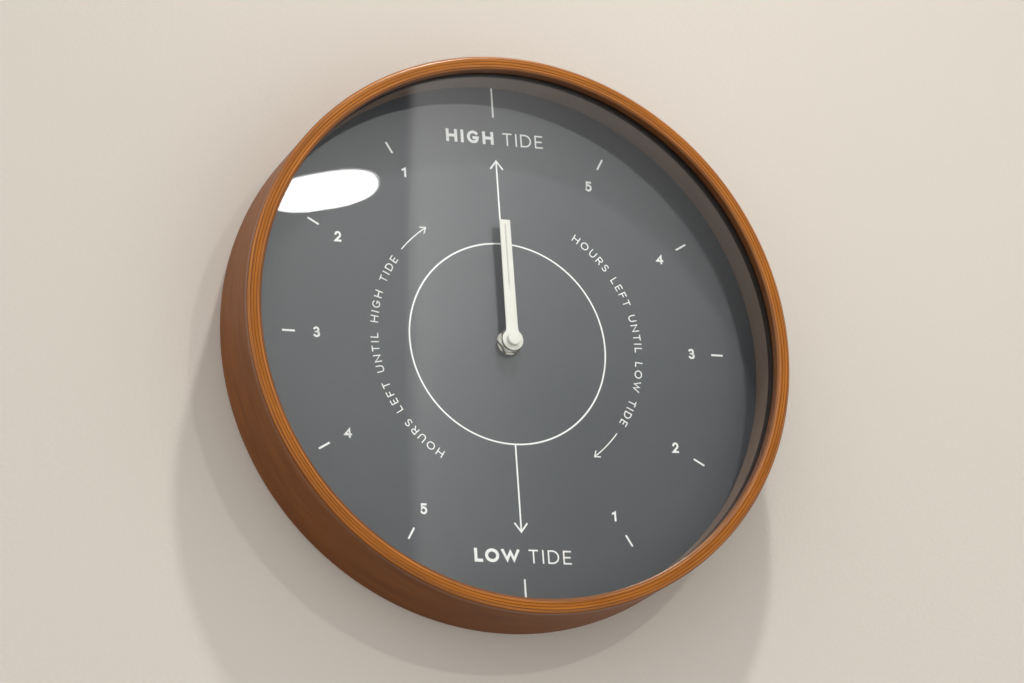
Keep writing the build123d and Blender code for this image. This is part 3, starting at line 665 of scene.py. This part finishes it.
def streak_group():
    """Fine parallel scratches along one axis: noise stretched by a vector, over slow clouds."""
    tree, given, out = group(
        "streaks",
        [("Light", "Color", (1, 1, 1, 1)), ("Dark", "Color", (0, 0, 0, 1)),
         ("Stretch", "Vector", (1, 1, 1)), ("Roughness", "Float", 0.3), ("Swing", "Float", 0.2)],
        [("Colour", "Color"), ("Roughness", "Float"), ("Height", "Float")],
    )
    here = place(tree)
    streaks = grain(tree, stretched(tree, here, given["Stretch"]), 1.0, 3.0)
    clouds = grain(tree, here, 160.0, 4.0)
    both = calc(tree, "ADD", calc(tree, "MULTIPLY", streaks, 0.55), calc(tree, "MULTIPLY", clouds, 0.45))
    share = spread(tree, both, 0.32, 0.68)
    tree.links.new(blend(tree, share, given["Dark"], given["Light"]), out["Colour"])
    swing = calc(tree, "MULTIPLY", calc(tree, "SUBTRACT", both, 0.5), given["Swing"])
    tree.links.new(calc(tree, "ADD", given["Roughness"], swing, clamp=True), out["Roughness"])
    tree.links.new(streaks, out["Height"])
    return tree


def wood_group():
    """Wood grain at a vector: long streaks from noise, with fine pores. The streaks add to the height and the
    pores take from it."""
    tree, given, out = group(
        "wood grain",
        [("Vector", "Vector", (0, 0, 0)), ("Layer", "Float", 0.0),
         ("Light", "Color", (1, 1, 1, 1)), ("Dark", "Color", (0, 0, 0, 1))],
        [("Colour", "Color"), ("Pores", "Float"), ("Height", "Float")],
    )
    long = grain(tree, given["Vector"], 1.0, 7.0, 0.62, given["Layer"])
    fine = grain(tree, given["Vector"], 6.0, 4.0, 0.6, given["Layer"])
    share = spread(tree, long, 0.36, 0.62)
    pores = spread(tree, fine, 0.30, 0.46, 1.0, 0.0, smooth=True)
    colour = blend(tree, share, given["Dark"], given["Light"])
    deep = calc(tree, "MULTIPLY", pores, 0.35)
    tree.links.new(blend(tree, deep, colour, given["Dark"]), out["Colour"])
    tree.links.new(pores, out["Pores"])
    height = calc(tree, "SUBTRACT", calc(tree, "MULTIPLY", long, 0.5), calc(tree, "MULTIPLY", pores, 0.5))
    tree.links.new(height, out["Height"])
    return tree


def finish(slot, shade):
    """A material whose tree is filled by a function that returns the surface's shader."""
    material = bpy.data.materials.new(slot)
    material.use_nodes = True
    tree = material.node_tree
    tree.nodes.clear()
    surface = shade(tree)
    put(tree, "ShaderNodeOutputMaterial", {"Surface": surface})
    return material


def principled(tree, **inputs):
    """The surface shader. An underscore in a name stands for a space."""
    named = {key.replace("_", " "): value for key, value in inputs.items()}
    return put(tree, "ShaderNodeBsdfPrincipled", named).outputs[0]


def tone(red, green, blue):
    """A colour with its alpha."""
    return (red, green, blue, 1.0)


MOTTLE = mottle_group()
STREAKS = streak_group()
WOOD = wood_group()


# Finishes
def clouded(tree, light, dark, rough, clouds=40.0, speckle=1500.0, swing=0.12):
    """Outputs of the mottle with these tones, roughness and scales."""
    inputs = {"Light": light, "Dark": dark, "Clouds": clouds, "Speckle": speckle,
              "Roughness": rough, "Swing": swing}
    return used(tree, MOTTLE, inputs)


def mottled(light, dark, rough, raise_by=0.02 * MM, scales=None, **more):
    """Shade of a plain moulded, painted or pressed surface."""

    def shade(tree):
        made = clouded(tree, light, dark, rough, **(scales or {}))
        normal = bumped(tree, made["Height"], raise_by)
        return principled(tree, Base_Color=made["Colour"], Roughness=made["Roughness"], Normal=normal, **more)

    return shade


def scratched(light, dark, rough, stretch):
    """Shade of a metal with fine scratches."""

    def shade(tree):
        inputs = {"Light": light, "Dark": dark, "Stretch": stretch,
                  "Roughness": rough, "Swing": SCRATCH_SWING}
        made = used(tree, STREAKS, inputs)
        normal = bumped(tree, made["Height"], SCRATCH_DEPTH)
        return principled(
            tree, Base_Color=made["Colour"], Roughness=made["Roughness"], Normal=normal, Metallic=1.0
        )

    return shade


def stained_ply(tree):
    """Bent plywood: layers by radius, light and dark in turn, with grain that runs round the hoop. The front
    has painted shade that darkens it towards the lip, and its two edges are smoother and have a coat."""
    here = put(tree, "ShaderNodeSeparateXYZ", {0: place(tree)}).outputs
    squares = [calc(tree, "MULTIPLY", way, way) for way in (here[0], here[2])]
    radius = calc(tree, "SQRT", calc(tree, "ADD", *squares))
    cosine = calc(tree, "DIVIDE", here[0], radius)
    sine = calc(tree, "DIVIDE", here[2], radius)
    round_it = put(tree, "ShaderNodeCombineXYZ", {0: cosine, 1: sine, 2: 0.0}).outputs[0]
    wander = calc(tree, "MULTIPLY", calc(tree, "SUBTRACT", grain(tree, round_it, 5.0, 3.0), 0.5), PLY_WANDER)
    depth = calc(tree, "SUBTRACT", calc(tree, "ADD", radius, wander), LIP_RADIUS)
    plies = calc(tree, "DIVIDE", depth, PLY_THICKNESS)
    ply = calc(tree, "FLOOR", plies)
    across = calc(tree, "FRACT", plies)
    dark_start, dark_full, dark_last, dark_end = DARK_LAYER
    dark_ply = product(
        tree,
        spread(tree, across, dark_start, dark_full, smooth=True),
        spread(tree, across, dark_end, dark_last, smooth=True),
    )
    veneer = spread(tree, radius, HOOP_RADIUS - SKIN_DEPTH[0], HOOP_RADIUS - SKIN_DEPTH[1], smooth=True)
    along = put(
        tree,
        "ShaderNodeCombineXYZ",
        {0: calc(tree, "MULTIPLY", cosine, GRAIN_ROUND), 1: calc(tree, "MULTIPLY", sine, GRAIN_ROUND),
         2: calc(tree, "MULTIPLY", here[1], GRAIN_ALONG)},
    ).outputs[0]
    inward = calc(tree, "MULTIPLY", radius, GRAIN_INWARD)
    layer = calc(tree, "ADD", calc(tree, "MULTIPLY", ply, PLY_SHIFT), inward)
    layer = calc(tree, "MULTIPLY", layer, calc(tree, "SUBTRACT", 1.0, veneer))
    pale, brown, skin = (
        used(tree, WOOD, {"Vector": along, "Layer": layer, "Light": light, "Dark": dark})
        for light, dark in (
            (tone(0.455, 0.149, 0.0135), tone(0.16, 0.041, 0.0025)),
            (tone(0.17, 0.042, 0.003), tone(0.08, 0.018, 0.002)),
            (tone(0.23, 0.062, 0.003), tone(0.16, 0.038, 0.001)),
        )
    )
    edge = blend(tree, dark_ply, pale["Colour"], brown["Colour"])
    # Painted shade: the front and the lip's inner wall darken towards the lip's edge, where the lip stands in
    # shade
    lip_shade = [LIP_RADIUS + reach for reach in LIP_SHADE_REACH]
    edge = blend(tree, spread(tree, radius, *lip_shade, 0.0, 0.7, smooth=True), edge, tone(0.06, 0.014, 0.002))
    colour = blend(tree, veneer, edge, skin["Colour"])
    off_middle = calc(tree, "ABSOLUTE", calc(tree, "SUBTRACT", radius, (HOOP_RADIUS + LIP_RADIUS) / 2))
    front = spread(tree, here[1], *[reach - HOOP_DEPTH for reach in FRONT_REACH], smooth=True)
    worn = spread(tree, off_middle, *[LIP_WIDTH / 2 - reach for reach in WORN_EDGE], smooth=True)
    worn = calc(tree, "MULTIPLY", worn, front)
    shiny = [LIP_WIDTH / 2 - reach for reach in SHINY_ROUND]
    shiny = spread(tree, off_middle, *shiny, 0.0, SHINY_COAT, smooth=True)
    pored = spread(tree, pale["Pores"], 0.0, 1.0, 0.0, 0.08)
    rough = calc(tree, "ADD", spread(tree, worn, 0.0, 1.0, 0.46, 0.28), pored)
    height = calc(tree, "SUBTRACT", skin["Height"], calc(tree, "MULTIPLY", dark_ply, 0.4))
    normal = bumped(tree, height, 0.05 * MM, 0.6)
    return principled(
        tree, Base_Color=colour, Roughness=rough, Normal=normal, Specular_IOR_Level=0.35,
        Specular_Tint=tone(1.0, 0.74, 0.42), Coat_Roughness=0.25,
        Coat_Weight=calc(tree, "MULTIPLY", shiny, front),
    )


def creased_paint(tree):
    """Satin paint with painted shade: a greyer line along the bottom of the hand's crease."""
    here = put(tree, "ShaderNodeSeparateXYZ", {0: place(tree)}).outputs
    made = clouded(
        tree, tone(0.80, 0.78, 0.725), tone(0.75, 0.73, 0.675), 0.4, clouds=60.0, speckle=3000.0
    )
    across = spread(tree, calc(tree, "ABSOLUTE", here[0]), *CREASE_SHADE_LINE, smooth=True)
    along = product(
        tree,
        spread(tree, here[2], CREASE_TOP, CREASE_TOP - CREASE_RUN_OUT),
        spread(tree, here[2], CREASE_FOOT, CREASE_FOOT + CREASE_SHADE_FADE),
    )
    # Painted shade along the bottom of the crease
    line = product(tree, across, along, 0.6)
    colour = blend(tree, line, made["Colour"], tone(0.36, 0.34, 0.30))
    normal = bumped(tree, made["Height"], 0.02 * MM)
    return principled(tree, Base_Color=colour, Roughness=made["Roughness"], Normal=normal)


def sawn_wood(tree):
    """Raw softwood with its grain along the block."""
    along = stretched(tree, place(tree), (9.0, 160.0, 120.0))
    made = used(
        tree, WOOD, {"Vector": along, "Light": tone(0.62, 0.44, 0.25), "Dark": tone(0.40, 0.24, 0.11)}
    )
    normal = bumped(tree, made["Height"], 0.15 * MM)
    return principled(tree, Base_Color=made["Colour"], Roughness=0.75, Normal=normal)


def pressed_fibre(tree):
    """Fibreboard: brown clouds with short pale and dark fibres lying every way."""
    here = place(tree)
    made = clouded(
        tree, tone(0.40, 0.27, 0.16), tone(0.25, 0.155, 0.085), 0.82, clouds=60.0, speckle=1100.0, swing=0.1
    )
    fibres = [
        spread(tree, grain(tree, stretched(tree, here, way), 1.0, 2.0), 0.62, 0.72)
        for way in ((180.0, 900.0, 1300.0), (1300.0, 900.0, 180.0))
    ]
    pale = blend(tree, calc(tree, "MULTIPLY", fibres[0], 0.5), made["Colour"], tone(0.55, 0.42, 0.28))
    colour = blend(tree, calc(tree, "MULTIPLY", fibres[1], 0.5), pale, tone(0.13, 0.075, 0.04))
    normal = bumped(tree, made["Height"], 0.06 * MM)
    return principled(tree, Base_Color=colour, Roughness=made["Roughness"], Normal=normal)


def polished_glass(tree):
    """Clear glass with a faintly uneven tint and a thin haze. The light that falls on what is behind it goes
    straight through."""
    smear = grain(tree, stretched(tree, place(tree), (22.0, 22.0, 60.0)), 1.0, 5.0)
    tint = blend(tree, spread(tree, smear, 0.4, 0.8), tone(0.985, 0.995, 0.99), tone(0.965, 0.98, 0.975))
    clear = principled(
        tree, Base_Color=tint, Roughness=0.0, IOR=1.5, Transmission_Weight=1.0,
        Coat_Weight=0.010, Coat_Roughness=0.16,
    )
    through = put(tree, "ShaderNodeBsdfTransparent", {"Color": tone(0.95, 0.96, 0.955)}).outputs[0]
    path = put(tree, "ShaderNodeLightPath").outputs
    lighting = calc(tree, "MAXIMUM", path["Is Shadow Ray"], path["Is Diffuse Ray"])
    return put(tree, "ShaderNodeMixShader", {0: lighting, 1: clear, 2: through}).outputs[0]


def wound_copper(tree):
    """Enamelled wire: fine turns across the coil, some darker than others."""
    made = used(
        tree,
        STREAKS,
        {"Light": tone(0.62, 0.26, 0.10), "Dark": tone(0.34, 0.11, 0.04), "Stretch": (20.0, 20.0, 9000.0),
         "Roughness": 0.32, "Swing": 0.2},
    )
    turns = put(
        tree, "ShaderNodeTexWave", {"Vector": place(tree), "Scale": 1600.0}, bands_direction="Z"
    ).outputs[1]
    normal = bumped(tree, turns, 0.04 * MM)
    return principled(
        tree, Base_Color=made["Colour"], Roughness=made["Roughness"], Normal=normal, Metallic=0.8
    )


def cell_sleeve(tree):
    """Battery: a dull blue-grey sleeve with a pale band at the raised end, and bare metal at both ends."""
    low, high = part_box("battery_cell")
    along = put(tree, "ShaderNodeSeparateXYZ", {0: place(tree)}).outputs[0]
    band = spread(tree, along, high.x - 12.4 * MM, high.x - 12.2 * MM)
    made = clouded(
        tree, tone(0.10, 0.15, 0.20), tone(0.075, 0.115, 0.16), 0.34, clouds=90.0, speckle=2500.0
    )
    sleeve = blend(tree, band, made["Colour"], tone(0.55, 0.56, 0.55))
    bare = calc(
        tree, "MAXIMUM", spread(tree, along, high.x - 2.1 * MM, high.x - 2.0 * MM),
        spread(tree, along, low.x + 1.0 * MM, low.x + 0.9 * MM),
    )
    colour = blend(tree, bare, sleeve, tone(0.66, 0.65, 0.63))
    return principled(tree, Base_Color=colour, Roughness=made["Roughness"], Metallic=bare)


def circuit_lacquer(tree):
    """Green lacquer over copper lanes, which follow the edges of long cells and stand a little raised."""
    here = place(tree)
    lanes = put(
        tree, "ShaderNodeTexVoronoi", {"Vector": stretched(tree, here, (420.0, 1.0, 150.0)), "Scale": 1.0},
        feature="DISTANCE_TO_EDGE",
    ).outputs[0]
    lane = spread(tree, lanes, 0.08, 0.12, 1.0, 0.0)
    made = clouded(
        tree, tone(0.035, 0.19, 0.07), tone(0.02, 0.12, 0.045), 0.3, clouds=120.0, speckle=2500.0, swing=0.1
    )
    colour = blend(tree, lane, made["Colour"], tone(0.06, 0.27, 0.09))
    normal = bumped(tree, lane, 0.03 * MM)
    return principled(tree, Base_Color=colour, Roughness=made["Roughness"], Normal=normal)


LATHE_TURNED = (40.0, 4000.0, 40.0)
BRUSHED = (300.0, 300.0, 3000.0)
ROLLED_UPRIGHT = (60.0, 60.0, 2500.0)
ROLLED_INWARD = (60.0, 2500.0, 60.0)
SHADES = {
    "stained_wood": stained_ply,
    "clear_glass": polished_glass,
    "black_gasket": mottled(
        tone(0.006, 0.005, 0.005), tone(0.003, 0.003, 0.003), 0.8, scales={"speckle": 3000.0},
        Specular_IOR_Level=0.2,
    ),
    "spacer_board": mottled(
        tone(0.185, 0.128, 0.097), tone(0.146, 0.101, 0.077), 0.85, scales={"clouds": 60.0, "speckle": 2200.0}
    ),
    "dial_paint": mottled(
        tone(0.0455, 0.049, 0.058), tone(0.042, 0.0455, 0.054), 0.38, raise_by=0.0002 * MM,
        scales={"clouds": 30.0, "speckle": 2600.0, "swing": 0.02}, Specular_IOR_Level=0.72,
    ),
    "backing_board": pressed_fibre,
    "zinc_steel": scratched(tone(0.66, 0.66, 0.63), tone(0.46, 0.47, 0.47), 0.36, BRUSHED),
    "plain_wood": sawn_wood,
    "black_rubber": mottled(tone(0.03, 0.03, 0.03), tone(0.018, 0.018, 0.018), 0.8),
    "nickel": scratched(tone(0.74, 0.72, 0.67), tone(0.58, 0.56, 0.52), 0.24, LATHE_TURNED),
    "case_plastic": mottled(
        tone(0.028, 0.028, 0.03), tone(0.017, 0.017, 0.018), 0.5, raise_by=0.05 * MM,
        scales={"clouds": 50.0, "speckle": 4200.0},
    ),
    "soft_iron": scratched(tone(0.48, 0.48, 0.48), tone(0.33, 0.33, 0.33), 0.42, ROLLED_UPRIGHT),
    "wheel_plastic": mottled(tone(0.80, 0.79, 0.74), tone(0.70, 0.69, 0.64), 0.42),
    "copper_wire": wound_copper,
    "circuit_resin": circuit_lacquer,
    "chip_epoxy": mottled(
        tone(0.022, 0.022, 0.023), tone(0.014, 0.014, 0.015), 0.55, scales={"speckle": 5000.0}
    ),
    "contact_steel": scratched(tone(0.70, 0.69, 0.66), tone(0.52, 0.51, 0.49), 0.28, ROLLED_INWARD),
    "brass": scratched(tone(0.74, 0.52, 0.21), tone(0.56, 0.37, 0.13), 0.27, LATHE_TURNED),
    "hand_paint": creased_paint,
    "knob_plastic": mottled(
        tone(0.66, 0.66, 0.64), tone(0.56, 0.56, 0.54), 0.45, scales={"speckle": 3500.0}
    ),
    "magnet": mottled(tone(0.11, 0.11, 0.115), tone(0.07, 0.07, 0.075), 0.5),
    "cell_jacket": cell_sleeve,
}
FINISHES = {slot: finish(slot, shade) for slot, shade in SHADES.items()}
PRINT_WHITE = finish(
    "print_white",
    mottled(
        tone(0.94, 0.94, 0.93), tone(0.90, 0.90, 0.89), 0.5, scales={"clouds": 90.0, "speckle": 4000.0}
    ),
)

# Finishes of the pieces that keep their own shape
slots = {part["node"]: part["material_slot"] for part in frame["record"]["subparts"]}
for node_name, node in frame["nodes"].items():
    node.data.materials.clear()
    node.data.materials.append(FINISHES[slots[node_name]])

# New pieces
piece("hoop", [turned(hoop_profile())], "clock_body", "stained_wood", ["wood_rim"])
for name, node_name, wall, slot in (
    ("gasket_band", "lens_gasket", GASKET_WALL, "black_gasket"),
    ("spacer_band", "spacer_ring", SPACER_WALL, "spacer_board"),
):
    piece(name, [turned(band_profile(node_name, wall))], "clock_body", slot, [node_name])
piece("hand_blade", hand_parts(), "hand_body", "hand_paint", ["tide_hand"])
piece("hub_button", [turned(cap_profile(), CAP_STEPS, closed=False)], "hand_body", "hand_paint", ["hub_cap"])
for label, parts in (
    ("hour_marks", hour_marks()),
    ("hour_figures", hour_figures()),
    ("tide_labels", tide_labels()),
    ("set_lines", set_lines()),
    ("curved_legends", curved_legends()),
):
    made = piece(label, parts, "clock_body", "dial_paint")
    made.data.materials[0] = PRINT_WHITE


# Wall, lamps and camera
def wall_paint(tree):
    """Pale wall with a faint roller texture. It shows only from its front, to the camera and in what mirrors
    or is clear, and all other light passes through it."""
    here = place(tree)
    roll = grain(tree, here, 420.0, 3.0)
    tint = grain(tree, here, 3.0, 2.0)
    colour = blend(tree, tint, tone(0.562, 0.516, 0.463), tone(0.578, 0.534, 0.479))
    paint = principled(tree, Base_Color=colour, Roughness=0.8, Normal=bumped(tree, roll, 0.12 * MM))
    clear = put(tree, "ShaderNodeBsdfTransparent").outputs[0]
    path = put(tree, "ShaderNodeLightPath").outputs
    seen = calc(tree, "MAXIMUM", path["Is Camera Ray"], path["Is Glossy Ray"])
    seen = calc(tree, "MAXIMUM", seen, path["Is Transmission Ray"])
    behind = put(tree, "ShaderNodeNewGeometry").outputs["Backfacing"]
    shown = calc(tree, "MULTIPLY", seen, calc(tree, "SUBTRACT", 1.0, behind))
    return put(tree, "ShaderNodeMixShader", {0: shown, 1: clear, 2: paint}).outputs[0]


def lamp_glow(strength, mirrored):
    """Even light of a lamp's diffuser, with its own level for its image in what mirrors or is clear."""

    def shade(tree):
        path = put(tree, "ShaderNodeLightPath").outputs
        image = calc(tree, "MAXIMUM", path["Is Glossy Ray"], path["Is Transmission Ray"])
        level = spread(tree, image, 0.0, 1.0, strength, mirrored)
        return put(tree, "ShaderNodeEmission", {"Color": LAMP_TINT, "Strength": level}).outputs[0]

    return shade


def panel(name, points, material):
    """One flat face that belongs to the room."""
    mesh = bpy.data.meshes.new(name)
    mesh.from_pydata(np.asarray(points).tolist(), [], [list(range(len(points)))])
    made = bpy.data.objects.new(name, mesh)
    bpy.context.scene.collection.objects.link(made)
    made.data.materials.append(material)
    return made


def lamp_panel(grown, height):
    """Level panel with rounded corners: a superellipse in a unit square, grown and carried into the lamp's
    four corners by adding their shares of each side."""
    angle = np.linspace(0, 2 * np.pi, LAMP_STEPS, endpoint=False)
    u, v = np.cos(angle), np.sin(angle)
    u, v = (grown * np.sign(w) * np.abs(w) ** LAMP_ROUNDNESS for w in (u, v))
    shares = np.stack([(1 + u) * (1 + v), (1 - u) * (1 + v), (1 - u) * (1 - v), (1 + u) * (1 - v)], -1) / 4
    return np.column_stack([shares @ np.asarray(LAMP_CORNERS), np.full(LAMP_STEPS, height)])


def spot_panel():
    """Round panel tilted away from the wall: a circle carried along x and along a line that leans down."""
    angle = np.linspace(0, 2 * np.pi, SPOT_STEPS, endpoint=False)
    across, lean = SPOT_RADIUS * np.cos(angle), SPOT_RADIUS * np.sin(angle)
    tilt = radians(SPOT_TILT)
    return np.stack([across, lean * np.cos(tilt), -lean * np.sin(tilt)], -1) + SPOT_PLACE


def towards(tree, level, other, share):
    """A level moved towards another by a share."""
    return calc(tree, "ADD", level, calc(tree, "MULTIPLY", calc(tree, "SUBTRACT", other, level), share))


def room_light(tree):
    """Light by heading: broad soft lights round the front. Up to the right is a dim part, crossed by a tall
    pale strip that fades to the right, as a doorway gives. From behind the wall's plane comes what a wall
    throws back."""
    heading = put(tree, "ShaderNodeTexCoord").outputs["Generated"]
    right, away, up = put(tree, "ShaderNodeSeparateXYZ", {0: heading}).outputs
    side = calc(tree, "ADD", right, calc(tree, "MULTIPLY", up, STRIP_LEAN))
    level = spread(tree, up, *BASE_LIGHT)
    for aim, strength in SOFT_LIGHTS:
        facing = put(tree, "ShaderNodeVectorMath", {0: heading, 1: aim}, operation="DOT_PRODUCT")
        lit = spread(tree, facing.outputs["Value"], *SOFT_EDGE, 0.0, strength, smooth=True)
        level = calc(tree, "ADD", level, lit)
    start, full, end = STRIP
    head = spread(tree, up, *STRIP_HEAD)
    before = calc(tree, "MULTIPLY", spread(tree, side, full, start, smooth=True), head)
    dim = product(
        tree, spread(tree, side, *DIM_LEFT), spread(tree, side, *DIM_RIGHT), spread(tree, up, *DIM_FOOT),
        calc(tree, "MAXIMUM", before, spread(tree, up, *DIM_HEAD)),
    )
    level = towards(tree, level, DIM_LEVEL, dim)
    strip = product(
        tree, spread(tree, side, start, full, smooth=True),
        calc(tree, "POWER", spread(tree, side, end, full), STRIP_FADE),
        spread(tree, up, *STRIP_FOOT), spread(tree, up, *STRIP_MIDDLE), head,
    )
    level = calc(tree, "ADD", level, strip)
    level = towards(tree, spread(tree, up, *WALL_THROW), level, spread(tree, away, *WALL_PLANE))
    return put(tree, "ShaderNodeBackground", {"Color": LAMP_TINT, "Strength": level}).outputs[0]


panel(
    "wall",
    [(-WALL_REACH, WALL_GAP, -WALL_REACH), (WALL_REACH, WALL_GAP, -WALL_REACH),
     (WALL_REACH, WALL_GAP, WALL_REACH), (-WALL_REACH, WALL_GAP, WALL_REACH)],
    finish("wall_paint", wall_paint),
)
for name, points, strength, mirrored in (
    ("lamp", lamp_panel(1.0, LAMP_HEIGHT), LAMP_LEVEL, LAMP_IMAGE),
    ("lamp_border", lamp_panel(BORDER_GROWTH, LAMP_HEIGHT + BORDER_LIFT), BORDER_LEVEL, BORDER_LEVEL),
    ("spot", spot_panel(), SPOT_LEVEL, SPOT_LEVEL),
):
    lamp = panel(name, points, finish(name, lamp_glow(strength, mirrored)))
    lamp.visible_camera = False

world = bpy.data.worlds.new("room")
bpy.context.scene.world = world
world.use_nodes = True
room = world.node_tree
room.nodes.clear()
pale = put(room, "ShaderNodeBackground", {"Color": BEYOND_WALL, "Strength": 1.0}).outputs[0]
ray = put(room, "ShaderNodeLightPath").outputs["Is Camera Ray"]
both = put(room, "ShaderNodeMixShader", {0: ray, 1: room_light(room), 2: pale}).outputs[0]
put(room, "ShaderNodeOutputWorld", {"Surface": both})

camera = bpy.data.objects.new("camera", bpy.data.cameras.new("camera"))
bpy.context.scene.collection.objects.link(camera)
camera.location = CAMERA_PLACE
camera.rotation_euler = [radians(angle) for angle in CAMERA_TURN]
camera.data.lens = CAMERA_LENS
camera.data.sensor_width = SENSOR_WIDTH
bpy.context.scene.camera = camera
bpy.context.scene.view_settings.view_transform = "Standard"
